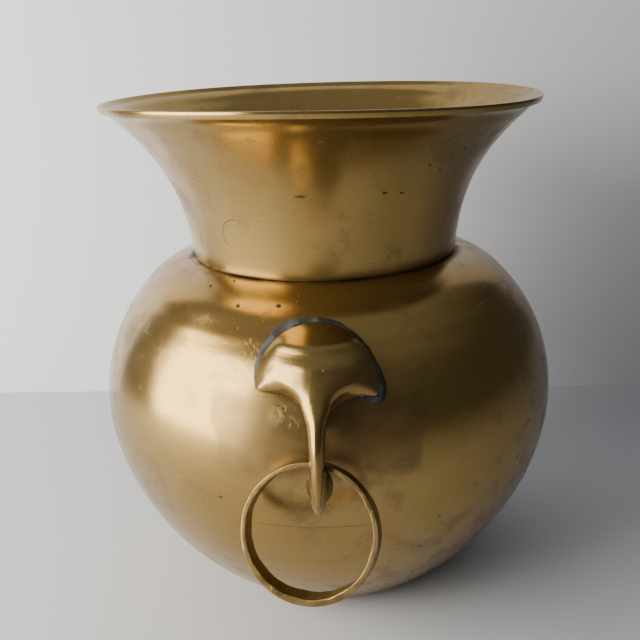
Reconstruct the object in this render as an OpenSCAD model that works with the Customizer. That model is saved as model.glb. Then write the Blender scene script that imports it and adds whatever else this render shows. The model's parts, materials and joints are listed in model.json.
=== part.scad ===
// Spun brass planter pot: a globe body, a flared collar soldered over its neck, and two cast
// handles, each holding a loose band ring. Millimetres, Z up, standing on Z = 0, with the
// pot's axis on the origin and the two handles on -Y and +Y.

/* [Body] */
// Largest radius of the globe
belly_r = 115; // [110:1:120]
// Height of the largest radius above the base
belly_z = 97.5; // [94:0.5:102]
// Radius of the flat base
base_r = 58; // [50:1:64]
// Thickness of the spun sheet
sheet = 1.2; // [0.8:0.1:1.6]

/* [Collar] */
// Outer radius of the collar where it sits on the shoulder
seam_r = 65.8; // [62:0.2:70]
// Height of the seam above the base
seam_z = 170.7; // [168:0.1:173]
// Outer radius of the rim
rim_r = 105; // [95:1:115]
// Height of the rim above the base
rim_z = 245.5; // [235:0.5:260]
// Thickness of the collar's sheet
collar_sheet = 1.0; // [0.8:0.1:1.4]

/* [Handles] */
// Width of the fan-shaped plate
fan_w = 51; // [44:1:54]
// Width of the hook that grows out of the fan
hook_w = 5.8; // [5:0.2:8]
// Radius of the round seat that the ring turns in
seat_r = 4.3; // [4.2:0.1:4.6]

/* [Rings] */
// Outer radius of a ring
ring_r = 28.4; // [26:0.2:29]
// Width of the band across its face
band_w = 7.4; // [6:0.2:7.6]
// Thickness of the band
band_t = 1.9; // [1.4:0.1:2]
// How far a ring is turned in its eye, seen from above
ring_yaw = 12; // [8:1:16]
// How far a resting ring leans out from the belly
ring_lean = 21; // [20:1:30]

/* [Hidden] */

brass = "#b08a4a";
dark_solder = "#39424a";

function bezier(p, t) =
    pow(1 - t, 3) * p[0] + 3 * pow(1 - t, 2) * t * p[1] + 3 * (1 - t) * t * t * p[2] + t * t * t * p[3];
function curve(p, steps) = [for (i = [0:steps]) bezier(p, i / steps)];
function arc(cx, cy, r, a0, a1, steps) =
    [for (i = [0:steps]) let (a = a0 + (a1 - a0) * i / steps) [cx + r * cos(a), cy + r * sin(a)]];
function reversed(pts) = [for (i = [len(pts) - 1:-1:0]) pts[i]];
// Points of an open outline moved to its left by d
function moved_left(pts, d) = [for (i = [0:len(pts) - 1])
    let (a = pts[max(i - 1, 0)], b = pts[min(i + 1, len(pts) - 1)], t = (b - a) / norm(b - a))
    pts[i] + d * [-t[1], t[0]]];

// Globe: a superellipse below the belly and a rounder one above it, then a flat-topped shoulder
low_pow = 1.8;
low_depth = belly_z / pow(1 - pow(base_r / belly_r, low_pow), 1 / low_pow);
high_pow = 2.13;
high_depth = 93.75;
shoulder_z = 160;
function low_radius(z) = belly_r * pow(1 - pow((belly_z - z) / low_depth, low_pow), 1 / low_pow);
function high_radius(z) = belly_r * pow(1 - pow((z - belly_z) / high_depth, high_pow), 1 / high_pow);
function wall_radius(z) = z < belly_z ? low_radius(z) : high_radius(z);
low_steps = 14;
high_steps = 10;
low_side = [for (i = [0:low_steps - 1]) let (z = belly_z * i / low_steps) [wall_radius(z), z]];
high_side = [for (i = [0:high_steps])
    let (z = belly_z + (shoulder_z - belly_z) * i / high_steps) [wall_radius(z), z]];
shoulder_start = [wall_radius(shoulder_z), shoulder_z];
shoulder_slope = shoulder_start - [wall_radius(shoulder_z - 1), shoulder_z - 1];
shoulder = curve([shoulder_start, shoulder_start + 9 * shoulder_slope / norm(shoulder_slope),
                  [seam_r + 8, seam_z - 1.3], [seam_r, seam_z]], 8);
globe_side = concat(low_side, high_side, [for (i = [1:8]) shoulder[i]]);

// Neck that stands up inside the collar
neck_gap = 0.25;
neck_r = seam_r - collar_sheet - neck_gap;
neck_top = seam_z + 9;

// Collar: its wall leaves the seam almost straight and sweeps out towards the rim
flare_straight = 0.2245;
flare_pow = 2.75;
collar_steps = 22;
function flare(s) = flare_straight * s + (1 - flare_straight) * pow(s, flare_pow);
function collar_radius(s) = seam_r + (rim_r - seam_r) * flare(s);
collar_foot = seam_z + 0.25;
collar_side = [for (i = [0:collar_steps])
    let (s = i / collar_steps) [collar_radius(s), collar_foot + (rim_z - collar_foot) * s]];

// Fan plate, in a plane that lies against the shoulder
fan_low_z = 135.5;
fan_top_z = 160;
fan_foot = [wall_radius(fan_low_z), fan_low_z];
fan_head = [wall_radius(fan_top_z), fan_top_z];
fan_tilt = atan2(fan_foot[0] - fan_head[0], fan_head[1] - fan_foot[1]);
fan_h = norm(fan_head - fan_foot);
fan_r = fan_w / 2;
fan_centre_v = fan_h - fan_r;
dome_r = 40;
dome_rise = 9.2;
dome_v = 4.5;
bead_w = 1.8;
// Outline of the fan: a round top, straight cheeks, and a lower edge that sweeps into the hook
function fan_outline(grow) = concat(
    arc(0, fan_centre_v, fan_r + grow, 0, 180, 40),
    [[-fan_r - grow, -grow]],
    curve([[-fan_r + 3, -1.2], [-fan_r + 13, -2.2], [-hook_w / 2 - 5, -5], [-hook_w / 2, -15]], 8),
    curve([[hook_w / 2, -15], [hook_w / 2 + 5, -5], [fan_r - 13, -2.2], [fan_r - 3, -1.2]], 8),
    [[fan_r + grow, -grow]]);

// Eye of the hook: the ring turns about eye_z at eye_r from the pot's axis
eye_z = 110;
eye_gap = 1.6;
eye_r = wall_radius(eye_z) + seat_r + eye_gap;
ring_shift = 1.4;
hook_back = eye_r + seat_r;
hook_depth = 6.2;
hook_front = hook_back + hook_depth;
hook_tip_z = 93;
ring_mid_r = ring_r - band_t / 2;
hook_shoulder = 8.5;
foot_r = 6.2;
foot_z = 97.5;
foot_sunk = 4;
foot_edge = 0.9;
foot_rise = 2.4;
seat_len = 24;
band_chamfer = 0.3;

module spun(side, t) {
    rotate_extrude($fn = 120) polygon(concat(side, reversed(moved_left(side, t))));
}

module globe_solid(extra) {
    rotate_extrude($fn = 120) polygon(concat([[0, -1]], [[base_r + extra, -1]],
        [for (p = globe_side) p + [extra, 0]], [[0, seam_z]]));
}

module body_bowl() {
    color(brass) {
        rotate_extrude($fn = 120) {
            polygon(concat([[0, 0]], globe_side, [[neck_r, seam_z + 0.1], [neck_r, neck_top],
                [neck_r - sheet, neck_top], [neck_r - sheet, seam_z - sheet + 0.1]],
                [for (p = reversed(moved_left(globe_side, sheet))) if (p[1] > sheet) p],
                [[base_r - 0.4, sheet], [0, sheet]]));
        }
    }
}

module flared_collar() {
    color(brass) spun(collar_side, collar_sheet);
}

module neck_solder() {
    run_top = neck_top - 1.5;
    inner = moved_left(collar_side, collar_sheet + 0.02);
    color(dark_solder) rotate_extrude($fn = 120)
        polygon(concat([[neck_r + 0.02, collar_foot + 0.1]],
            [for (p = inner) if (p[1] < run_top) p + [0, p[1] < collar_foot + 0.2 ? 0.1 : 0]],
            [[neck_r + 0.02, run_top]]));
}

// Places its children in the plane of the fan: x across, y up the slope, z out of the wall
module on_fan() {
    translate([0, -fan_foot[0], fan_foot[1]]) rotate([90 - fan_tilt, 0, 0]) children();
}

module fan_slab(grow, below, above) {
    on_fan() translate([0, 0, -below]) linear_extrude(below + above) polygon(fan_outline(grow));
}

module fan_dome() {
    on_fan() translate([0, dome_v, dome_rise - dome_r]) sphere(dome_r, $fn = 96);
}

// Side view of the hook, drawn as distance from the pot's axis against height
module hook_side() {
    outer = concat(
        curve([[107, 148], [116.5, 141.5], [hook_front - 6, 131], [hook_front - 2, 121]], 8),
        curve([[hook_front - 2, 121], [hook_front, 115], [hook_front + 1.2, 101], [hook_front - 0.6, hook_tip_z]], 8),
        curve([[hook_front - 0.6, hook_tip_z], [hook_front - 6, 92], [eye_r - 2, 91], [113, 90]], 6));
    difference() {
        polygon(concat(outer, [[100, 90], [90, 150]]));
        translate([eye_r, eye_z]) circle(seat_r, $fn = 64);
        polygon(concat([[eye_r + seat_r, eye_z]],
            curve([[eye_r + seat_r, eye_z], [eye_r + seat_r, 117], [eye_r + 2, 123], [112, 126]], 8),
            [[112, eye_z]]));
    }
}

// Front view of the hook: it narrows quickly out of the fan, swells slightly at the eye and ends
// in a narrow pointed tip
module hook_face() {
    half = hook_w / 2;
    right = concat([[hook_shoulder, 152]],
        curve([[hook_shoulder, 138], [half + 1.6, 132], [half + 0.6, 127], [half, 118]], 6),
        curve([[half, 118], [half + 0.5, 108], [half + 0.5, 103], [half - 0.3, 98]], 5),
        curve([[half - 0.3, 98], [half - 0.8, 95], [1.2, 92.6], [0.4, hook_tip_z - 0.5]], 4));
    polygon(concat(right, [for (p = reversed(right)) [-p[0], p[1]]]));
}

// Flared foot that the hook's web stands on, against the wall
module hook_foot() {
    translate([0, -wall_radius(foot_z), foot_z]) rotate([90, 0, 0]) {
        translate([0, 0, -foot_sunk]) cylinder(r = foot_r, h = foot_sunk + foot_edge, $fn = 48);
        translate([0, 0, foot_edge]) cylinder(r1 = foot_r, r2 = hook_w / 2, h = foot_rise, $fn = 48);
    }
}

// Round seat along the ring's own hinge line
module seat_bore() {
    translate([0, -eye_r, eye_z]) rotate([0, 90, -ring_yaw])
        cylinder(r = seat_r, h = seat_len, center = true, $fn = 64);
}

module handle_casting() {
    color(brass) difference() {
        union() {
            intersection() {
                fan_slab(0, 6, 12);
                fan_dome();
            }
            intersection() {
                rotate([90, 0, -90]) translate([0, 0, -10]) linear_extrude(20) hook_side();
                rotate([90, 0, 0]) linear_extrude(hook_front + 10) hook_face();
            }
            hook_foot();
        }
        globe_solid(0.05);
        seat_bore();
    }
}

// Dark solder run round the fan's edge
module edge_bead() {
    color(dark_solder) difference() {
        intersection() {
            fan_slab(bead_w, 8, 6);
            globe_solid(0.9);
        }
        fan_slab(0.05, 12, 12);
        globe_solid(0.08);
        on_fan() translate([0, -fan_r, 0]) cube([fan_w - 4, 2 * fan_r, 40], center = true);
    }
}

module band_ring() {
    half_w = band_w / 2;
    flat_w = half_w - band_chamfer;
    inner_r = ring_r - band_t;
    color(brass)
        translate([0, -eye_r, eye_z]) rotate([-ring_lean, 0, -ring_yaw])
            translate([-ring_shift, 0, -ring_mid_r]) rotate([90, 0, 0]) rotate_extrude($fn = 96)
                polygon([[inner_r, -flat_w], [inner_r + band_chamfer, -half_w],
                         [ring_r - band_chamfer, -half_w], [ring_r, -flat_w],
                         [ring_r, flat_w], [ring_r - band_chamfer, half_w],
                         [inner_r + band_chamfer, half_w], [inner_r, flat_w]]);
}

module front_handle() { handle_casting(); }
module front_bead() { edge_bead(); }
module front_ring() { band_ring(); }
module back_handle() { rotate([0, 0, 180]) handle_casting(); }
module back_bead() { rotate([0, 0, 180]) edge_bead(); }
module back_ring() { rotate([0, 0, 180]) band_ring(); }

body_bowl();
flared_collar();
neck_solder();
front_handle();
front_bead();
front_ring();
back_handle();
back_bead();
back_ring();
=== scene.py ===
"""Looks of the brass planter pot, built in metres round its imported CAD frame."""
import json
import math

import bpy
import numpy as np
from mathutils import Matrix, Vector


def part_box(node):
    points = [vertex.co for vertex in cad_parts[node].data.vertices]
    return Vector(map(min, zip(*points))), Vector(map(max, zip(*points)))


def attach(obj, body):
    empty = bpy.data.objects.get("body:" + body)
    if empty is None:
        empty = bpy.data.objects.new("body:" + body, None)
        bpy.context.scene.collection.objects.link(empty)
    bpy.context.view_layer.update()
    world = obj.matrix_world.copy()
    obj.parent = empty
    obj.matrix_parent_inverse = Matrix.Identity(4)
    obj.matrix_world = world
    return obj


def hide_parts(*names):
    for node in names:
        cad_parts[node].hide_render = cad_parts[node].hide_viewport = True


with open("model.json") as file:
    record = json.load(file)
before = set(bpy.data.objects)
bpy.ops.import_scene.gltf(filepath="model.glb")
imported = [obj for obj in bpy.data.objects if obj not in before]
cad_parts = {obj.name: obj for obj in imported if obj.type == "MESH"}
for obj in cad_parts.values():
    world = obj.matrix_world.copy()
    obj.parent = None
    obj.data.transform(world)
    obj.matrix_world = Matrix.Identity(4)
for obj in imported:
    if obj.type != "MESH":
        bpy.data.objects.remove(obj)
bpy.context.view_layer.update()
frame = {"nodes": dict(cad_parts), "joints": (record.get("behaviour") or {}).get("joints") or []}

MM = 0.001
BODY_SHEET = 1.2 * MM
COLLAR_SHEET = 1.0 * MM
SEGMENTS = 384
# of the casting, in mm
FAN_SPAN = 24.5
SEAT_R = 4.3
CASTING_CELL = 0.55


# ---------------------------------------------------------------- small maths

def smooth(x, low, high):
    """0 below low, 1 above high and an even turn between them."""
    t = np.clip((np.asarray(x, float) - low) / (high - low), 0, 1)
    return t * t * (3 - 2 * t)


def spline(points, count):
    """count points, evenly spaced, on the natural cubic curve through the given ones."""
    points = np.asarray(points, float)
    step = np.linalg.norm(np.diff(points, axis=0), axis=1)
    s = np.concatenate([[0], np.cumsum(step)])
    n = len(points)
    matrix, right = np.zeros((n, n)), np.zeros_like(points)
    matrix[0, 0] = matrix[-1, -1] = 1
    for i in range(1, n - 1):
        before, after = step[i - 1], step[i]
        matrix[i, i - 1:i + 2] = before, 2 * (before + after), after
        right[i] = 6 * ((points[i + 1] - points[i]) / after - (points[i] - points[i - 1]) / before)
    bend = np.linalg.solve(matrix, right)
    at = np.linspace(0, s[-1], count)
    i = np.clip(np.searchsorted(s, at) - 1, 0, n - 2)
    h, t = step[i][:, None], ((at - s[i]) / step[i])[:, None]
    return ((1 - t) * points[i] + t * points[i + 1]
            - h * h / 6 * t * (1 - t) * ((2 - t) * bend[i] + (1 + t) * bend[i + 1]))


def bezier(p0, p1, p2, p3, count):
    t = np.linspace(0, 1, count)[:, None]
    p0, p1, p2, p3 = (np.asarray(p, float) for p in (p0, p1, p2, p3))
    return (1 - t) ** 3 * p0 + 3 * (1 - t) ** 2 * t * p1 + 3 * (1 - t) * t * t * p2 + t ** 3 * p3


def moved_left(points, d):
    """An open outline moved to its own left by d."""
    run = np.gradient(points, axis=0)
    run /= np.linalg.norm(run, axis=1)[:, None]
    return points + d * np.stack([-run[:, 1], run[:, 0]], 1)


def waves(angle, terms):
    """Sum of (height, count, phase in degrees) waves round the pot."""
    return sum(a * np.cos(k * angle - math.radians(p)) for a, k, p in terms)


# ---------------------------------------------------------------- mesh makers

def make_object(name, vertices, faces, material, sharp=40):
    mesh = bpy.data.meshes.new(name)
    mesh.from_pydata([tuple(v) for v in vertices], [], [tuple(f) for f in faces])
    mesh.update()
    mesh.polygons.foreach_set("use_smooth", [True] * len(mesh.polygons))
    mesh.set_sharp_from_angle(angle=math.radians(sharp))
    made = bpy.data.objects.new(name, mesh)
    bpy.context.scene.collection.objects.link(made)
    mesh.materials.append(material)
    return made


def grid_faces(rows, columns, close_rows, close_columns):
    """Quads of a grid of points, row by row; a closed direction joins its last line to its first."""
    i = np.arange(rows if close_rows else rows - 1)
    j = np.arange(columns if close_columns else columns - 1)
    a, b = np.meshgrid(i, j, indexing="ij")
    a2, b2 = (a + 1) % rows, (b + 1) % columns
    quads = np.stack([a * columns + b, a * columns + b2, a2 * columns + b2, a2 * columns + b], -1)
    return quads.reshape(-1, 4)


def turned(name, profile, material, shape=None, poles=False):
    """A turned piece. profile runs outside first, from the foot up and back down inside.
    shape(angle, radius, height) gives each point's small offsets in radius and height."""
    profile = np.asarray(profile, float)
    angle = np.linspace(0, 2 * np.pi, SEGMENTS, endpoint=False)
    radius, theta = np.meshgrid(profile[:, 0], angle, indexing="ij")
    height = np.repeat(profile[:, 1][:, None], SEGMENTS, 1)
    if shape:
        dr, dz = shape(theta, radius, height)
        radius, height = radius + dr, height + dz
    points = np.stack([radius * np.cos(theta), radius * np.sin(theta), height], -1).reshape(-1, 3)
    faces = [list(f) for f in grid_faces(len(profile), SEGMENTS, not poles, True)]
    if poles:
        last = (len(profile) - 1) * SEGMENTS
        faces.append(list(range(SEGMENTS))[::-1])
        faces.append([last + k for k in range(SEGMENTS)])
    return make_object(name, points, faces, material)


# ---------------------------------------------------------------- what the frame says

def outer_profile(node):
    """Radius and height of each ring of corners on a turned node's outside, from the foot up."""
    mesh = frame["nodes"][node].data
    rings = {}
    for face in mesh.polygons:
        out = Vector((face.center.x, face.center.y, 0)).normalized()
        if face.normal.dot(out) > 0.02:
            for i in face.vertices:
                co = mesh.vertices[i].co
                level = round(co.z, 5)
                rings[level] = max(rings.get(level, 0), math.hypot(co.x, co.y))
    return np.array([(rings[z], z) for z in sorted(rings)])


collar_low, collar_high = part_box("flared_collar")
_, body_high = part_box("body_bowl")
body_corners = outer_profile("body_bowl")
globe = spline(body_corners[body_corners[:, 1] < collar_low.z - 0.1 * MM], 150)
neck_r = body_corners[-1, 0]
seam_z = globe[-1, 1]
base_r = globe[0, 0]
belly_z = globe[np.argmax(globe[:, 0]), 1]
collar_side = spline(outer_profile("flared_collar"), 90)


def wall(z):
    """Radius of the globe's outside at a height, and the slope of its radius there."""
    radius = np.interp(z, globe[:, 1], globe[:, 0])
    slope = np.interp(z, globe[:, 1], np.gradient(globe[:, 0]) / np.gradient(globe[:, 1]))
    return radius, slope


# ---------------------------------------------------------------- materials

class Paint:
    """Builds the node tree of one material."""

    def __init__(self, name, metallic, roughness):
        self.material = bpy.data.materials.new(name)
        self.material.use_nodes = True
        self.tree = self.material.node_tree
        self.shader = self.tree.nodes["Principled BSDF"]
        self.shader.inputs["Metallic"].default_value = metallic
        self.shader.inputs["Roughness"].default_value = roughness
        place = self.tree.nodes.new("ShaderNodeTexCoord").outputs["Object"]
        split = self.add("ShaderNodeSeparateXYZ", Vector=place)
        self.place = place
        self.x, self.y, self.z = (split.outputs[k] for k in "XYZ")

    def add(self, kind, settings=None, **inputs):
        made = self.tree.nodes.new(kind)
        for key, value in (settings or {}).items():
            setattr(made, key, value)
        for key, value in inputs.items():
            self.put(made.inputs[key.replace("_", " ")], value)
        return made

    def put(self, socket, value):
        if isinstance(value, bpy.types.NodeSocket):
            self.tree.links.new(value, socket)
        else:
            socket.default_value = value

    def sum(self, how, a, b=0.0, c=0.0):
        made = self.tree.nodes.new("ShaderNodeMath")
        made.operation = how
        for socket, value in zip(made.inputs, (a, b, c)):
            self.put(socket, value)
        return made.outputs[0]

    def stretched(self, x, y, z):
        """The place with each axis multiplied, so that noise read there is drawn out."""
        made = self.add("ShaderNodeVectorMath", {"operation": "MULTIPLY"})
        self.put(made.inputs[0], self.place)
        self.put(made.inputs[1], (x, y, z))
        return made.outputs[0]

    def noise(self, scale, vector=None, detail=4.0, roughness=0.55, distortion=0.0):
        made = self.add("ShaderNodeTexNoise", Vector=vector or self.place, Scale=scale, Detail=detail,
                        Roughness=roughness, Distortion=distortion)
        return made.outputs["Fac"]

    def spots(self, scale, vector=None, random=1.0):
        made = self.add("ShaderNodeTexVoronoi", Vector=vector or self.place, Scale=scale, Randomness=random)
        return made.outputs["Distance"], made.outputs["Color"]

    def mask(self, value, low, high):
        """0 where value is at low, 1 where it is at high, with a soft turn."""
        made = self.add("ShaderNodeMapRange", {"interpolation_type": "SMOOTHSTEP"})
        for key, v in (("Value", value), ("From Min", low), ("From Max", high)):
            self.put(made.inputs[key], v)
        return made.outputs[0]

    def blot(self, x, y, z, reach, soft=0.5):
        """1 at a point given in mm, falling to 0 at its reach; reach is (across, along, up) in mm."""
        off = self.add("ShaderNodeVectorMath", {"operation": "SUBTRACT"})
        self.put(off.inputs[0], self.place)
        self.put(off.inputs[1], (x * MM, y * MM, z * MM))
        scaled = self.add("ShaderNodeVectorMath", {"operation": "DIVIDE"})
        self.put(scaled.inputs[0], off.outputs[0])
        self.put(scaled.inputs[1], tuple(r * MM for r in reach))
        far = self.add("ShaderNodeVectorMath", {"operation": "LENGTH"})
        self.put(far.inputs[0], scaled.outputs[0])
        return self.mask(far.outputs["Value"], 1.0, soft)

    def most(self, *masks):
        highest = masks[0]
        for other in masks[1:]:
            highest = self.sum("MAXIMUM", highest, other)
        return highest

    def window(self, value, low, high, soft):
        return self.sum("MULTIPLY", self.mask(value, low - soft, low + soft),
                        self.mask(value, high + soft, high - soft))

    def mix(self, share, a, b):
        made = self.add("ShaderNodeMix", {"data_type": "RGBA"})
        self.put(made.inputs["Factor"], share)
        self.put(made.inputs[6], (*a, 1) if isinstance(a, tuple) else a)
        self.put(made.inputs[7], (*b, 1) if isinstance(b, tuple) else b)
        return made.outputs[2]

    def bump(self, height, distance, strength=1.0, normal=None):
        made = self.add("ShaderNodeBump", Height=height, Distance=distance, Strength=strength)
        if normal:
            self.put(made.inputs["Normal"], normal)
        return made.outputs["Normal"]


BRASS = (0.325, 0.214, 0.066)
PALE_BRASS = (0.36, 0.250, 0.094)
COPPERY = (0.36, 0.188, 0.054)
UMBER = (0.17, 0.112, 0.046)
# Near-black for pits, freckles and worn marks, and for the painted shade at the seam.
GRIME_AND_SEAM_SHADE = (0.035, 0.025, 0.016)


def brass(name, roughness, along=None, pitted=0.6, stain=0.5, extra=None):
    """Aged brass. along(paint) gives the coordinate that runs across the spinning lines."""
    p = Paint(name, 0.9, roughness)
    cloud = p.noise(9.0, detail=5.0)
    fine_cloud = p.noise(55.0, detail=6.0, roughness=0.65)
    colour = p.mix(p.mask(cloud, 0.42, 0.66), BRASS, PALE_BRASS)
    colour = p.mix(p.sum("MULTIPLY", p.mask(p.noise(14.0, distortion=0.6), 0.56, 0.74), 0.7), colour, COPPERY)
    both_clouds = p.sum("ADD", fine_cloud, p.sum("MULTIPLY", cloud, 0.6))
    tarnish = p.sum("MULTIPLY", p.mask(both_clouds, 0.80, 1.02), stain)
    colour = p.mix(tarnish, colour, UMBER)
    rough = p.sum("MULTIPLY_ADD", fine_cloud, 0.14, roughness - 0.07)
    rough = p.sum("MULTIPLY_ADD", tarnish, 0.22, rough)
    height = p.sum("MULTIPLY", p.noise(420.0, detail=3.0), 0.12)

    if along:
        across = along(p)
        slow_x, slow_y = p.sum("MULTIPLY", p.x, 9.0), p.sum("MULTIPLY", p.y, 9.0)
        quick = p.sum("MULTIPLY", across, 1500.0)
        ring_place = p.add("ShaderNodeCombineXYZ", X=slow_x, Y=slow_y, Z=quick).outputs[0]
        lines = p.noise(1.0, vector=ring_place, detail=5.0, roughness=0.75)
        height = p.sum("MULTIPLY_ADD", lines, 0.55, height)
        rough = p.sum("MULTIPLY_ADD", lines, 0.10, p.sum("SUBTRACT", rough, 0.05))
        colour = p.mix(p.sum("MULTIPLY", p.mask(lines, 0.58, 0.8), 0.35), colour, UMBER)

    near, _ = p.spots(95.0)
    crowd = p.mask(p.noise(7.0, detail=2.0), 0.52, 0.66)
    pit = p.sum("MULTIPLY", p.mask(near, 0.14, 0.05), p.sum("MULTIPLY", crowd, pitted))
    freckle = p.sum("MULTIPLY", p.mask(p.noise(900.0, detail=2.0), 0.70, 0.78), pitted * 0.5)
    dark = p.sum("MAXIMUM", pit, freckle)

    scratch_a = p.noise(1.0, vector=p.stretched(60.0, 60.0, 900.0), detail=2.0, distortion=0.5)
    scratch_b = p.noise(1.0, vector=p.stretched(800.0, 60.0, 160.0), detail=2.0, distortion=0.4)
    scratch = p.sum("MAXIMUM", p.mask(scratch_a, 0.735, 0.76), p.mask(scratch_b, 0.735, 0.76))
    height = p.sum("MULTIPLY_ADD", scratch, -0.6, height)
    rough = p.sum("MULTIPLY_ADD", scratch, 0.12, rough)

    if extra:
        colour, rough, dark, height = extra(p, colour, rough, dark, height)
    # Pits and worn marks darken here, as does the painted shade at the seam.
    colour = p.mix(dark, colour, GRIME_AND_SEAM_SHADE)
    rough = p.sum("MULTIPLY_ADD", dark, 0.35, rough)
    height = p.sum("MULTIPLY_ADD", dark, -1.5, height)
    p.put(p.shader.inputs["Base Color"], colour)
    p.put(p.shader.inputs["Roughness"], rough)
    p.put(p.shader.inputs["Normal"], p.bump(height, 0.00004))
    return p.material


def globe_across(p):
    """Angle round the globe's own centre, as a length: it rises evenly from the base to the seam."""
    radius = p.sum("SQRT", p.sum("ADD", p.sum("MULTIPLY", p.x, p.x), p.sum("MULTIPLY", p.y, p.y)))
    return p.sum("MULTIPLY", p.sum("ARCTAN2", p.sum("SUBTRACT", p.z, belly_z), radius), float(body_high.x))


def collar_across(p):
    radius = p.sum("SQRT", p.sum("ADD", p.sum("MULTIPLY", p.x, p.x), p.sum("MULTIPLY", p.y, p.y)))
    return p.sum("ADD", p.z, radius)


def seam_painted_shade(p, dark, reach):
    """Painted shade close to the seam, in uneven lengths."""
    gap = p.sum("ABSOLUTE", p.sum("SUBTRACT", p.z, float(collar_low.z)))
    # The seam's painted shade, broken into uneven lengths by noise.
    dirt = p.sum("MULTIPLY", p.mask(gap, reach, 0.2 * MM), p.mask(p.noise(40.0), 0.35, 0.6))
    return p.sum("MAXIMUM", dark, dirt)


def body_extra(p, colour, rough, dark, height):
    """Sanded, browned area round each hook, darkened further by painted shade for the dark reflection beside
    it, coppery blotches on the shoulder, the pits, a pale painted reflection of the fan's lip below its lower
    left edge, the scored line and the scuff on the front, and painted shade at the seam."""
    hook_low, hook_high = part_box("front_handle")
    # Darker, rougher area round each hook: a browned area, darkened further by painted shade standing in for
    # the dark reflection beside the hook.
    wobble = p.sum("MULTIPLY_ADD", p.noise(60.0), 0.012, -0.006)
    side = p.sum("ADD", p.sum("ABSOLUTE", p.x), wobble)
    up = p.sum("ADD", p.z, wobble)
    browned_area_and_painted_shade = p.sum("MULTIPLY", p.mask(side, 0.046, 0.042),
                  p.window(up, hook_low.z + 0.010, hook_high.z - 0.027, 0.003))
    browned_area_and_painted_shade = p.sum("MULTIPLY", browned_area_and_painted_shade, p.mask(p.sum("ABSOLUTE", p.y), 0.06, 0.07))
    colour = p.mix(p.sum("MULTIPLY", browned_area_and_painted_shade, p.sum("MULTIPLY_ADD", p.noise(150.0), 0.8, 0.22)), colour, UMBER)
    rough = p.sum("MULTIPLY_ADD", browned_area_and_painted_shade, 0.12, rough)
    shoulder = p.sum("MULTIPLY", p.mask(p.z, seam_z - 0.03, seam_z), p.mask(p.noise(22.0), 0.45, 0.65))
    colour = p.mix(p.sum("MULTIPLY", shoulder, 0.5), colour, COPPERY)

    pits = p.most(p.blot(-16.7, -81, 164.8, (1.5, 2, 0.9)), p.blot(-34.9, -76.7, 163.7, (1.1, 2, 0.9)),
                  p.blot(-38.7, -58.5, 169.8, (0.8, 2, 0.6)), p.blot(-49.3, -58.7, 167.7, (0.8, 2, 0.8)),
                  p.blot(-66.6, -16.4, 170.2, (2, 1, 0.8)), p.blot(-43.2, -105.6, 87, (1.0, 2, 0.8)),
                  p.blot(-16.2, -107.9, 130.6, (3.4, 4, 0.8), 0.1),
                  p.blot(-14.0, -108.9, 129.6, (1.2, 4, 1.6), 0.1))
    dark = p.most(dark, p.sum("MULTIPLY", pits, 0.9))
    ragged = p.noise(130.0, detail=5.0)
    # Pale ragged spot with a rough bump below the fan's lower left edge: a painted reflection of the fan's
    # lip.
    painted_lip_reflection = p.sum("MULTIPLY", p.blot(-13, -109.5, 126, (10, 9, 6.5), 0.3), p.mask(ragged, 0.46, 0.56))
    colour = p.mix(p.sum("MULTIPLY", painted_lip_reflection, 0.8), colour, PALE_BRASS)
    height = p.sum("MULTIPLY_ADD", p.sum("MULTIPLY", painted_lip_reflection, ragged), 3.5, height)
    level = p.sum("ADD", p.z, p.sum("MULTIPLY_ADD", p.noise(35.0), 0.004, -0.002))
    score = p.sum("MULTIPLY", p.window(level, 0.0750, 0.0756, 0.0003),
                  p.blot(-4, -110, 75.3, (29, 12, 4), 0.7))
    fine = p.noise(1.0, vector=p.stretched(1300.0, 200.0, 420.0), detail=2.0, distortion=0.7)
    scuff = p.sum("MULTIPLY", p.blot(-28.4, -94, 149, (5, 8, 9), 0.4), p.mask(fine, 0.58, 0.64))
    worn = p.most(p.sum("MULTIPLY", score, 0.38), p.sum("MULTIPLY", scuff, 0.5))
    dark = p.most(dark, worn)
    # The seam gets painted shade here.
    return colour, rough, seam_painted_shade(p, dark, 1.2 * MM), height


def collar_extra(p, colour, rough, dark, height):
    """Coppery blotches, a dark streak, a few pits and a curled scratch."""
    blotch = p.mask(p.noise(18.0, distortion=1.0), 0.58, 0.72)
    colour = p.mix(p.sum("MULTIPLY", blotch, 0.6), colour, COPPERY)
    pits = p.most(p.blot(-6, -75.4, 210.2, (3.6, 3, 1.0), 0.2), p.blot(29.1, -69.8, 210.1, (1.6, 2, 0.7)),
                  p.blot(36.3, -65.8, 209.2, (1.2, 2, 0.6)), p.blot(48, -66.1, 220.7, (0.8, 2, 0.7)),
                  p.blot(63.4, -57.7, 226.3, (0.9, 2, 0.8)), p.blot(52.8, -59.6, 217.6, (0.7, 2, 0.5)))
    curl = p.sum("MULTIPLY", p.blot(-36, -58, 190.5, (8.2, 12, 8.2), 0.97),
                 p.blot(-44, -60, 193, (14, 20, 10), 0.8))
    curl = p.sum("MULTIPLY", curl, p.sum("SUBTRACT", 1.0, p.blot(-35.6, -58, 190.2, (7.7, 12, 7.7), 0.97)))
    dark = p.most(dark, p.sum("MULTIPLY", pits, 0.85), p.sum("MULTIPLY", curl, 0.5))
    # The seam gets painted shade here too.
    return colour, rough, seam_painted_shade(p, dark, 1.0 * MM), height


def casting_extra(p, colour, rough, dark, height):
    """Sand-cast skin: a little grain and dirt kept in the hollows."""
    grain = p.noise(260.0, detail=5.0, roughness=0.7)
    height = p.sum("MULTIPLY_ADD", grain, 0.9, height)
    colour = p.mix(p.sum("MULTIPLY_ADD", p.mask(grain, 0.5, 0.7), 0.25, 0.15), colour, UMBER)
    return colour, rough, dark, height


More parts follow.
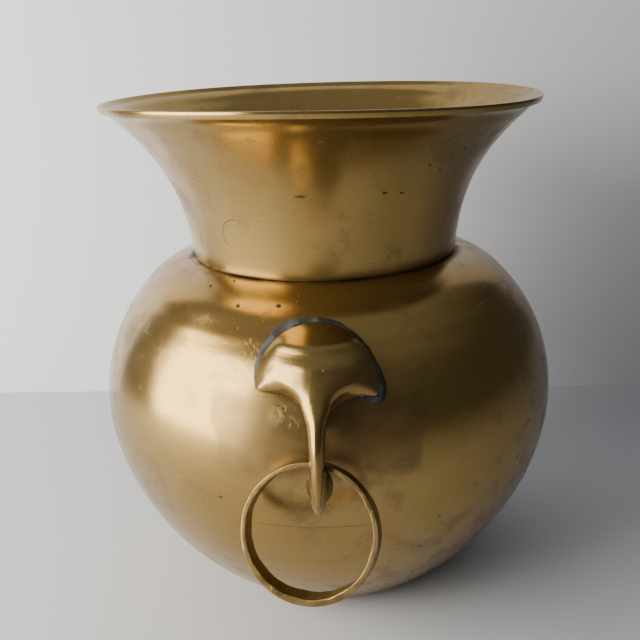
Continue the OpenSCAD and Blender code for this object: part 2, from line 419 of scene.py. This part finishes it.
def ring_extra(p, colour, rough, dark, height):
    """File marks in short strokes."""
    strokes = p.noise(1.0, vector=p.stretched(1400.0, 120.0, 1400.0), detail=3.0, roughness=0.7)
    height = p.sum("MULTIPLY_ADD", strokes, 1.2, height)
    colour = p.mix(p.sum("MULTIPLY_ADD", p.mask(strokes, 0.45, 0.7), 0.4, 0.55), colour, UMBER)
    return colour, rough, dark, height


def solder_material():
    p = Paint("dark_solder", 0.05, 0.5)
    blotch = p.noise(160.0, detail=5.0)
    colour = p.mix(p.mask(blotch, 0.35, 0.65), (0.010, 0.013, 0.015), (0.032, 0.038, 0.041))
    colour = p.mix(p.mask(p.noise(420.0), 0.64, 0.74), colour, (0.11, 0.10, 0.08))
    p.put(p.shader.inputs["Base Color"], colour)
    p.put(p.shader.inputs["Roughness"], p.sum("MULTIPLY_ADD", blotch, 0.3, 0.45))
    p.put(p.shader.inputs["Normal"], p.bump(p.noise(500.0, detail=4.0), 0.0002))
    return p.material


spun = brass("spun_brass_body", 0.215, globe_across, pitted=0.7, stain=0.55, extra=body_extra)
flare = brass("spun_brass_collar", 0.205, collar_across, pitted=0.8, stain=0.5, extra=collar_extra)
cast = brass("cast_brass", 0.235, pitted=0.5, stain=0.5, extra=casting_extra)
filed = brass("filed_brass", 0.30, pitted=0.6, stain=1.0, extra=ring_extra)
solder = solder_material()


# ---------------------------------------------------------------- globe body

def body_shape(angle, radius, height):
    """A spun wall is never quite true: broad, shallow waves, none at the neck or the base."""
    free = smooth(height, 0.002, 0.04) * smooth(height, seam_z, seam_z - 0.03)
    dr = waves(angle, [(0.10, 3, 40), (0.07, 5, 10), (0.035, 9, 75)]) * np.cos(height * 40 + 0.6)
    dr += waves(angle, [(0.06, 4, 80), (0.03, 7, 20)]) * np.sin(height * 75)
    return dr * free * MM, np.zeros_like(dr)


def make_body():
    round_r = 3.0 * MM
    start = np.searchsorted(globe[:, 1], round_r)
    edge = bezier((base_r - round_r, 0), (base_r - 0.3 * MM, 0), (base_r + 0.1 * MM, 0.1 * MM),
                  globe[start], 10)
    outside = np.vstack([[(0.2 * MM, 0), (base_r * 0.5, 0)], edge, globe[start + 1:],
                         [(neck_r + 0.3 * MM, seam_z + 0.05 * MM), (neck_r, seam_z + 0.5 * MM),
                          (neck_r, body_high.z - 0.3 * MM), (neck_r - 0.3 * MM, body_high.z)]])
    inner = moved_left(globe, BODY_SHEET)
    inner = inner[(inner[:, 1] > BODY_SHEET + round_r) & (inner[:, 0] > neck_r - BODY_SHEET + 0.5 * MM)]
    corner = bezier(inner[0], inner[0] - (0.004, 0.0035), (base_r - 2 * MM, BODY_SHEET),
                    (base_r - 7 * MM, BODY_SHEET), 8)
    inside = np.vstack([[(neck_r - BODY_SHEET + 0.3 * MM, body_high.z),
                         (neck_r - BODY_SHEET, body_high.z - 0.3 * MM),
                         (neck_r - BODY_SHEET, seam_z - 0.6 * MM)], inner[::-1], corner[1:],
                        [(base_r * 0.5, BODY_SHEET), (0.2 * MM, BODY_SHEET)]])
    body = turned("body_bowl_spun", np.vstack([outside, inside]), spun, body_shape, poles=True)
    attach(body, "pot")
    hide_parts("body_bowl")


# ---------------------------------------------------------------- flared collar

def collar_shape(angle, radius, height):
    """Shallow flats left by the spinning stick, and a rim that has been knocked out of true."""
    up = (height - collar_low.z) / (collar_high.z - collar_low.z)
    grip = smooth(up, 0.0, 0.35)
    flats = waves(angle, [(0.16, 9, 30), (0.12, 13, 100), (0.07, 21, 50)])
    dr = flats * grip * (1 - 0.5 * smooth(up, 0.7, 1))
    rim = smooth(up, 0.45, 1.0)
    dz = waves(angle, [(0.25, 1, 200), (0.75, 2, 150), (0.35, 3, 60)]) * rim
    dr += waves(angle, [(0.5, 2, 60), (0.3, 3, 0)]) * rim
    return dr * MM, dz * MM


def make_collar():
    lip = 1.5 * MM
    side = collar_side[:-4]
    run = side[-1] - side[-2]
    run /= np.linalg.norm(run)
    left = np.array([-run[1], run[0]])
    step = side[-1] + run * 0.35 * MM - left * 0.45 * MM
    top = np.array([collar_high.x - 0.05 * MM, collar_high.z - 0.35 * MM])
    outer_lip = np.array([step, top + (0.0, -lip + 0.5 * MM), top, top + (-0.25 * MM, 0.3 * MM),
                          top + (-0.7 * MM, 0.35 * MM), top + (-1.1 * MM, 0.1 * MM)])
    foot = np.array([side[0] + (-COLLAR_SHEET + 0.25 * MM, 0.0), side[0] + (-0.25 * MM, 0.0),
                     side[0] + (-0.05 * MM, 0.1 * MM)])
    inner = moved_left(side, COLLAR_SHEET)[::-1]
    profile = np.vstack([foot, side[1:], outer_lip, inner])
    collar = turned("flared_collar_spun", profile, flare, collar_shape)
    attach(collar, "pot")
    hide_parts("flared_collar")


make_body()
make_collar()


# ---------------------------------------------------------------- cast handles

handle_low, handle_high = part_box("front_handle")
front_joint = next(j for j in frame["joints"] if j["child"] == "ring_at_front")
eye = np.array([front_joint["pos_m"][0], -front_joint["pos_m"][1], front_joint["pos_m"][2]]) / MM
swing_line = np.array([front_joint["axis"][0], -front_joint["axis"][1], front_joint["axis"][2]])
fan_half = handle_high.x / MM
fan_top = np.array([wall(handle_high.z + 0.3 * MM)[0], handle_high.z + 0.3 * MM]) / MM
fan_foot = np.array([wall((fan_top[1] - FAN_SPAN) * MM)[0] / MM, fan_top[1] - FAN_SPAN])
slope_up = (fan_top - fan_foot) / np.linalg.norm(fan_top - fan_foot)
slope_out = np.array([slope_up[1], -slope_up[0]])
fan_rise = np.linalg.norm(fan_top - fan_foot)
hook_out = -handle_low.y / MM
hook_tip = handle_low.z / MM
fan_tilt = 0.054


def height_over_wall(p):
    """Distance of points (x, out, z in mm) from the globe's outside."""
    radius, slope = wall(p[:, 2] * MM)
    return (np.hypot(p[:, 0], p[:, 1]) - radius / MM) / np.sqrt(1 + slope ** 2)


def soft_union(a, b, reach):
    h = np.clip(0.5 + 0.5 * (b - a) / reach, 0, 1)
    return b + (a - b) * h - reach * h * (1 - h)


def soft_cut(a, b, reach):
    """a with b taken out of it."""
    return -soft_union(-a, b, reach)


def soft_common(a, b, reach):
    return -soft_union(-a, -b, reach)


lower_edge = bezier((2.9, -14.0), (6.6, -2.6), (fan_half - 13, -1.2), (fan_half + 2, -0.3), 60)


def under_edge(u, v):
    """Signed distance, negative inside, of the fan's lower edge."""
    edge = np.interp(np.abs(u), lower_edge[:, 0], lower_edge[:, 1])
    slope = np.gradient(lower_edge[:, 1]) / np.gradient(lower_edge[:, 0])
    steep = np.interp(np.abs(u), lower_edge[:, 0], slope)
    return (edge - v - fan_tilt * u) / np.sqrt(1 + steep ** 2)


def fan_outline(u, v):
    """Signed distance, negative inside, of the fan's whole outline in its own plane."""
    centre = fan_rise - fan_half
    over = np.hypot(u, np.maximum(v + fan_tilt * u - centre, 0)) - fan_half
    return soft_common(over, under_edge(u, v), 1.6)


spine = np.vstack([
    bezier((107.5, 145), (113.5, 139.5), (hook_out - 9.8, 131), (hook_out - 6.3, 121.5), 22),
    bezier((hook_out - 6.3, 121.5), (hook_out - 4.2, 116), (hook_out - 4.2, 104),
           (hook_out - 4.3, hook_tip + 5.2), 26)[1:],
    bezier((hook_out - 4.3, hook_tip + 5.2), (hook_out - 4.3, hook_tip + 3.6), (hook_out - 4.2, hook_tip + 2),
           (hook_out - 4.2, hook_tip + 0.9), 8)[1:]])
half_width = np.interp(spine[:, 1],
                       [hook_tip + 0.9, hook_tip + 2.2, hook_tip + 6, 103, 108, 114, 119, 124, 128, 132, 136,
                        140, 145],
                       [0.3, 1.0, 2.4, 2.9, 3.0, 2.75, 2.8, 2.9, 3.4, 4.7, 6.4, 8.3, 9])
half_depth = np.interp(spine[:, 1],
                       [hook_tip + 0.9, hook_tip + 2.2, hook_tip + 6, 103, 108, 119, 128, 134, 140, 145],
                       [0.9, 2.3, 4.1, 4.9, 5.1, 5.0, 4.4, 3.6, 2.9, 2.4])


def trunk(p):
    """Signed distance of the hook's trunk: slices strung along the spine, oval where it leaves the
    fan and a little sharper in front further down."""
    best = np.full(len(p), 1e9)
    for (d0, z0), (d1, z1), w0, w1, h0, h1 in zip(spine[:-1], spine[1:], half_width[:-1], half_width[1:],
                                                  half_depth[:-1], half_depth[1:]):
        run = np.array([d1 - d0, z1 - z0])
        t = np.clip(((p[:, 1] - d0) * run[0] + (p[:, 2] - z0) * run[1]) / (run @ run), 0, 1)
        away = np.hypot(p[:, 1] - d0 - t * run[0], p[:, 2] - z0 - t * run[1])
        w, h = w0 + (w1 - w0) * t, h0 + (h1 - h0) * t
        keel = 2.0 - 0.12 * smooth(z0, 138, 126)
        scaled = (np.sqrt(p[:, 0] ** 2 + 0.16) / (w + 0.45)) ** keel + ((away + 0.1) / h) ** keel
        best = np.minimum(best, (scaled ** (1 / keel) - 1) * np.minimum(w, h))
    return best


def casting(p):
    """Signed distance of the whole casting at points (x, out, z in mm)."""
    above = height_over_wall(p)
    u = p[:, 0]
    v = (p[:, 1] - fan_foot[0]) * slope_up[0] + (p[:, 2] - fan_foot[1]) * slope_up[1]
    outline = fan_outline(u, v)
    inward = np.maximum(-outline, 0)
    swell = 1 - (np.abs(u) / (fan_half + 0.6)) ** 2.3 - (np.maximum(v - 4, 0) / (fan_rise - 2.8)) ** 3
    dome = 1.2 + 9.0 * np.maximum(swell, 0) * (1 - np.exp(-inward / 1.7))
    dome = dome + 1.7 * smooth(v, 26, -2) * np.exp(-(u / 10.5) ** 2)
    steep = 0.62 + 0.38 * np.exp(-np.maximum(above, 0) / 3.0)
    plate = soft_common((above - dome) * steep, outline - 0.5, 2.0)
    hollow = 0.55 * dome * smooth(under_edge(u, v), -7.0, -0.5)
    plate = soft_common(plate, hollow - above - 0.15, 0.8)
    shape = soft_union(plate, trunk(p), 3.5)
    # web between the trunk and the wall, and the flared foot it stands on
    web_z = hook_tip + 5.8
    reach = np.clip((p[:, 1] - 113) / (hook_out - 117), 0, 1)
    web = np.sqrt((u / 2.7) ** 2 + ((p[:, 2] - web_z - 0.8 * reach) / 6.0) ** 2) - 1
    web = np.maximum(web * 2.7, np.maximum(113 - p[:, 1], p[:, 1] - hook_out + 4))
    shape = soft_union(shape, web, 1.6)
    flare_r = 2.0 + 3.6 * np.exp(-(np.maximum(above, 0) / 4.5) ** 2)
    foot = np.hypot(u, (p[:, 2] - hook_tip - 6.0) / 1.5) - flare_r
    foot = soft_common(foot * 0.65, above - 7.0, 3.0)
    shape = soft_union(shape, foot, 2.2)
    # the round seat that the ring turns in, and the gap above it
    off = p - eye
    along = off @ swing_line
    seat = np.linalg.norm(off - along[:, None] * swing_line, axis=1) - SEAT_R
    gap = np.maximum(np.abs(p[:, 1] - eye[1] + 0.4) - 3.6, np.abs(p[:, 2] - eye[2] - 4.5) - 5.0)
    shape = soft_cut(shape, np.minimum(seat, gap), 0.7)
    return np.maximum(shape, -above - 0.25)


def surface_net(field, low, cell):
    """A closed quad mesh of a sampled signed distance: one point in each cell that the surface crosses."""
    inside = field < 0
    corners = [(i, j, k) for i in (0, 1) for j in (0, 1) for k in (0, 1)]
    nx, ny, nz = (s - 1 for s in field.shape)
    part = {c: np.s_[c[0]:c[0] + nx, c[1]:c[1] + ny, c[2]:c[2] + nz] for c in corners}
    full = sum(inside[part[c]].astype(int) for c in corners)
    crossed = (full > 0) & (full < 8)
    total, hits = np.zeros((nx, ny, nz, 3)), np.zeros((nx, ny, nz))
    for a in corners:
        for axis in range(3):
            if a[axis]:
                continue
            b = tuple(1 if m == axis else a[m] for m in range(3))
            fa, fb = field[part[a]], field[part[b]]
            cut = (fa < 0) != (fb < 0)
            t = np.where(cut, fa / np.where(cut, fa - fb, 1), 0)
            for m in range(3):
                total[..., m] += np.where(cut, a[m] + (t if m == axis else 0), 0)
            hits += cut
    number = np.full(crossed.shape, -1)
    number[crossed] = np.arange(crossed.sum())
    base = np.argwhere(crossed)
    points = low + (base + total[crossed] / hits[crossed][:, None]) * cell
    faces = []
    for axis in range(3):
        m, n = (axis + 1) % 3, (axis + 2) % 3
        one, two = [slice(1, -1)] * 3, [slice(1, -1)] * 3
        one[axis], two[axis] = slice(0, -1), slice(1, None)
        a, b = inside[tuple(one)], inside[tuple(two)]
        for flip in (False, True):
            at = np.argwhere((a & ~b) if not flip else (~a & b))
            at[:, m] += 1
            at[:, n] += 1
            ring = []
            for dm, dn in ((-1, -1), (0, -1), (0, 0), (-1, 0)):
                q = at.copy()
                q[:, m] += dm
                q[:, n] += dn
                ring.append(number[q[:, 0], q[:, 1], q[:, 2]])
            quad = np.stack(ring, 1)
            faces.append(quad[:, ::-1] if flip else quad)
    return points, np.vstack(faces)


def sculpted(distance, low, high, cell):
    """Mesh of a signed distance, with its points pulled onto the surface."""
    low, high = np.asarray(low, float), np.asarray(high, float)
    axes = [np.arange(a, b + cell, cell) for a, b in zip(low, high)]
    shape = tuple(len(a) for a in axes)
    grid = np.stack(np.meshgrid(*axes, indexing="ij"), -1).reshape(-1, 3)
    points, faces = surface_net(distance(grid).reshape(shape), low, cell)
    reach = 0.05
    for _ in range(3):
        value = distance(points)
        slope = np.stack([(distance(points + reach * e) - distance(points - reach * e)) / (2 * reach)
                          for e in np.eye(3)], 1)
        size = np.maximum((slope ** 2).sum(1), 0.2)
        points = points - np.clip(value / size, -0.4, 0.4)[:, None] * slope
    return points, faces


def to_front(points):
    """(x, out, z) in mm to the row frame in metres, for the handle on -Y."""
    return np.stack([points[:, 0], -points[:, 1], points[:, 2]], 1) * MM


def half_turn(points):
    return points * (-1, -1, 1)


casting_points, casting_faces = sculpted(
    casting, (-fan_half - 2, 84, hook_tip - 3), (fan_half + 2, hook_out + 3, fan_top[1] + 4), CASTING_CELL)
casting_points = to_front(casting_points)
casting_faces = casting_faces[:, ::-1]


def make_handle(name, node, points):
    made = make_object(name, points, casting_faces, cast, sharp=180)
    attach(made, "pot")
    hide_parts(node)


make_handle("front_handle_cast", "front_handle", casting_points)
make_handle("back_handle_cast", "back_handle", half_turn(casting_points))


# ---------------------------------------------------------------- dark solder round the fan

def on_wall(u, v, lift):
    """Points (x, out, z) above the wall by lift, found along the fan plane's normal."""
    along = np.zeros_like(u)
    for _ in range(8):
        p = np.stack([u, fan_foot[0] + v * slope_up[0] + along * slope_out[0],
                      fan_foot[1] + v * slope_up[1] + along * slope_out[1]], 1)
        along -= height_over_wall(p) - lift
    return p


def bead_path(count):
    """The fan's edge from its left corner over the top to just under its right corner."""
    centre = fan_rise - fan_half
    cheek = np.linspace(1.2, centre, 12)[:-1]
    arc = np.linspace(math.pi, 0, 60)
    left = np.stack([np.full(11, -fan_half), cheek], 1)
    over = np.stack([fan_half * np.cos(arc), centre + fan_half * np.sin(arc)], 1)
    right = np.stack([np.full(11, fan_half), cheek[::-1]], 1)
    under = np.array([(fan_half - 0.2, -0.2), (fan_half - 1.6, -0.9), (fan_half - 5.0, -1.1),
                      (fan_half - 9.0, -1.5)])
    path = np.vstack([left, over, right, under])
    path[:, 1] -= fan_tilt * path[:, 0]
    return spline(path, count)


def bead_mesh():
    count, across = 260, 11
    path = bead_path(count)
    outward = moved_left(path, 1.0) - path
    s = np.linspace(0, 1, count)
    lumps = (0.30 * np.sin(s * 41) + 0.22 * np.sin(s * 73 + 1.0) + 0.16 * np.sin(s * 127 + 2.1))
    wide = np.interp(s, [0, 0.10, 0.20, 0.27, 0.33, 0.40, 0.47, 0.56, 0.66, 0.78, 0.86, 0.92, 1.0],
                     [0.4, 1.6, 1.9, 3.4, 3.0, 2.2, 2.0, 1.5, 0.7, 0.9, 2.8, 2.0, 0.4])
    wide = np.maximum(wide * (1 + 0.22 * lumps) + 0.12 * lumps, 0.3)
    tall = np.minimum(0.6 + 0.33 * wide, 1.5) * (1 + 0.2 * np.sin(s * 57 + 0.5))
    rows = []
    for k in range(across):
        t = k / (across - 1)
        reach = -0.5 + (wide + 0.5) * t
        arch = tall * np.sqrt(np.maximum(1 - (np.maximum(t - 0.25, 0) / 0.75) ** 2, 0)) + 0.02
        edge = path + outward * reach[:, None]
        rows.append(on_wall(edge[:, 0], edge[:, 1], arch))
    for t in (1.0, 0.0):
        edge = path + outward * (-0.5 + (wide + 0.5) * t)[:, None]
        rows.append(on_wall(edge[:, 0], edge[:, 1], np.full(count, -0.25)))
    points = np.stack(rows, 1).reshape(-1, 3)
    columns = across + 2
    faces = [list(f) for f in grid_faces(count, columns, False, True)]
    faces.append(list(range(columns)))
    faces.append([(count - 1) * columns + k for k in range(columns)][::-1])
    return points, faces


bead_points, bead_faces = bead_mesh()
bead_points = to_front(bead_points)


def make_bead(name, node, points):
    made = make_object(name, points, [f[::-1] for f in bead_faces], solder, sharp=60)
    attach(made, "pot")
    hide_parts(node)


make_bead("front_bead_run", "front_bead", bead_points)
make_bead("back_bead_run", "back_bead", half_turn(bead_points))
frame["nodes"]["neck_solder"].data.materials.clear()
frame["nodes"]["neck_solder"].data.materials.append(solder)


# ---------------------------------------------------------------- band rings

def ring_frame(node):
    """Centre, two in-plane directions, axis, radii and width of a ring node, measured on its mesh."""
    co = np.array([v.co for v in frame["nodes"][node].data.vertices])
    centre = (co.max(0) + co.min(0)) / 2
    for _ in range(5):
        _, axes = np.linalg.eigh(np.cov((co - centre).T))
        axis = axes[:, 0]
        flat = (co - centre) - np.outer((co - centre) @ axis, axis)
        far = np.linalg.norm(flat, axis=1)
        outer = flat[far > np.percentile(far, 60)]
        system = np.hstack([outer @ axes[:, 1:], np.ones((len(outer), 1))])
        a, b, _ = np.linalg.lstsq(system, (outer ** 2).sum(1), rcond=None)[0]
        centre = centre + axes[:, 1] * a / 2 + axes[:, 2] * b / 2
    along = (co - centre) @ axis
    centre = centre + axis * (along.max() + along.min()) / 2
    up = np.array([0, 0, 1.0]) - axis[2] * axis
    up /= np.linalg.norm(up)
    if axis @ centre < 0:
        axis = -axis
    side = np.cross(up, axis)
    rel = co - centre
    far = np.linalg.norm(rel - np.outer(rel @ axis, axis), axis=1)
    return centre, side, up, axis, far.min(), far.max(), along.max() - along.min()


def front_side(y, half):
    return 0.5 + 0.5 * y / half


def make_ring(name, node, body):
    centre, side, up, out, r_in, r_out, width = ring_frame(node)
    count = 320
    turn = np.linspace(0, 2 * np.pi, count, endpoint=False)
    corner = 0.32 * MM
    half = width / 2
    mid = (r_in + r_out) / 2
    thick = (r_out - r_in) / 2
    section = []
    for cx, cy, start in ((thick - corner, half - corner, 0), (corner - thick, half - corner, 90),
                          (corner - thick, corner - half, 180), (thick - corner, corner - half, 270)):
        for a in np.radians(start + np.array([0, 30, 60, 90])):
            section.append((cx + corner * math.cos(a), cy + corner * math.sin(a)))
        if start in (0, 180):
            section += [((1 if start == 0 else -1) * f * (thick - corner), (half if start == 0 else -half))
                        for f in (0.33, -0.33)]
        else:
            section += [((-1 if start == 90 else 1) * thick, (1 if start == 90 else -1) * f * (half - corner))
                        for f in (0.5, 0, -0.5)]
    section = np.array(section)
    rows = []
    for x, y in section:
        inner = smooth(-x, 0, thick)
        joint = np.exp(-((turn - math.radians(268)) / 0.75) ** 2)
        front = smooth(y, -half, half)
        r = mid + x
        ripple = 0.10 * np.sin(9 * turn + 1) + 0.07 * np.sin(17 * turn + 2) + 0.04 * np.sin(31 * turn)
        swell = 0.45 * smooth(-np.sin(turn), -0.5, 0.4) + 1.9 * joint * (1 - 0.9 * front_side(y, half))
        r = r + inner * MM * ripple
        r = r - inner * MM * swell
        r = r + (1 - inner) * MM * (0.05 * np.sin(5 * turn + 0.4) + 0.04 * np.sin(13 * turn + 1.1))
        y_off = y + MM * np.sign(y) * (0.07 * np.sin(7 * turn + front) + 0.05 * np.sin(19 * turn + 3 * front))
        nick = np.exp(-((turn - math.radians(194)) / 0.012) ** 2) * (1 - inner) * front
        r = r - 0.5 * MM * nick
        r, y_off = np.minimum(r, r_out), np.clip(y_off, -half, half)
        rows.append(centre + np.outer(r * np.cos(turn), side) + np.outer(r * np.sin(turn), up)
                    + np.outer(y_off, out))
    points = np.stack(rows, 1).reshape(-1, 3)
    made = make_object(name, points, grid_faces(count, len(section), True, True), filed, sharp=50)
    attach(made, body)
    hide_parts(node)


make_ring("front_ring_band", "front_ring", "ring_at_front")
make_ring("back_ring_band", "back_ring", "ring_at_back")


# ---------------------------------------------------------------- floor, light and camera

def plain(name, colour, roughness):
    material = bpy.data.materials.new(name)
    material.use_nodes = True
    shader = material.node_tree.nodes["Principled BSDF"]
    shader.inputs["Base Color"].default_value = (*colour, 1)
    shader.inputs["Roughness"].default_value = roughness
    return material


def make_stage():
    """A pale table and, close behind the pot, a pale wall that can be seen from its front only."""
    wall_y = 1.86 * body_high.x
    left, right, top = -0.48, 0.29, 0.65
    table_paint = plain("table_paint", (0.53, 0.545, 0.58), 0.9)
    wall_paint = plain("wall_paint", (0.62, 0.64, 0.69), 0.9)
    tree = wall_paint.node_tree
    side, clear, mix = (tree.nodes.new(k) for k in ("ShaderNodeNewGeometry", "ShaderNodeBsdfTransparent",
                                                    "ShaderNodeMixShader"))
    tree.links.new(side.outputs["Backfacing"], mix.inputs[0])
    tree.links.new(tree.nodes["Principled BSDF"].outputs[0], mix.inputs[1])
    tree.links.new(clear.outputs[0], mix.inputs[2])
    tree.links.new(mix.outputs[0], tree.nodes["Material Output"].inputs[0])
    table = [(-1.6, -2, 0), (1.6, -2, 0), (1.6, 1.6, 0), (-1.6, 1.6, 0)]
    panel = [(left, wall_y, 0), (right, wall_y, 0), (right, wall_y, top), (left, wall_y, top)]
    make_object("stage_table", table, [(0, 1, 2, 3)], table_paint, sharp=180)
    make_object("stage_wall", panel, [(0, 1, 2, 3)], wall_paint, sharp=180)


def area_light(name, place, target, size, watts, colour):
    data = bpy.data.lights.new(name, "AREA")
    data.shape, data.size, data.size_y = "RECTANGLE", size[0], size[1]
    data.energy, data.color = watts, colour
    lamp = bpy.data.objects.new(name, data)
    lamp.location = place
    lamp.rotation_euler = (Vector(target) - Vector(place)).to_track_quat("-Z", "Y").to_euler()
    lamp.visible_camera = False
    bpy.context.scene.collection.objects.link(lamp)


def make_lights():
    world = bpy.data.worlds.new("room")
    world.use_nodes = True
    tree = world.node_tree
    place, split, rise = (tree.nodes.new(k) for k in ("ShaderNodeTexCoord", "ShaderNodeSeparateXYZ",
                                                      "ShaderNodeMapRange"))
    tree.links.new(place.outputs["Generated"], split.inputs[0])
    tree.links.new(split.outputs["Z"], rise.inputs["Value"])
    rise.interpolation_type = "SMOOTHSTEP"
    for key, value in (("From Min", 0.35), ("From Max", 1.0), ("To Min", 0.08), ("To Max", 0.34)):
        rise.inputs[key].default_value = value
    tree.links.new(rise.outputs[0], tree.nodes["Background"].inputs["Strength"])
    tree.nodes["Background"].inputs["Color"].default_value = (0.95, 0.97, 1.0, 1)
    bpy.context.scene.world = world
    area_light("window_left", (-0.60, -0.33, 0.31), (0, 0, 0.15), (0.66, 0.60), 17.0, (1.0, 0.95, 0.86))


def make_camera():
    """Stands a little to the right of the front handle, above the rim, and looks down at the belly."""
    away = 3.700 * body_high.x
    height = 2.3818 * body_high.x
    turn, pitch, roll = math.radians(2.55), math.radians(18.83), math.radians(-1.75)
    data = bpy.data.cameras.new("camera")
    data.sensor_width = 36.0
    data.lens = 47.8
    data.shift_x, data.shift_y = -0.0111, 0.0058
    camera = bpy.data.objects.new("camera", data)
    place = Matrix.Translation((away * math.sin(turn), -away * math.cos(turn), height))
    tilt = Matrix.Rotation(math.pi / 2 - pitch, 4, "X")
    camera.matrix_world = place @ Matrix.Rotation(turn, 4, "Z") @ tilt @ Matrix.Rotation(roll, 4, "Z")
    bpy.context.scene.collection.objects.link(camera)
    bpy.context.scene.camera = camera


make_stage()
make_lights()
make_camera()
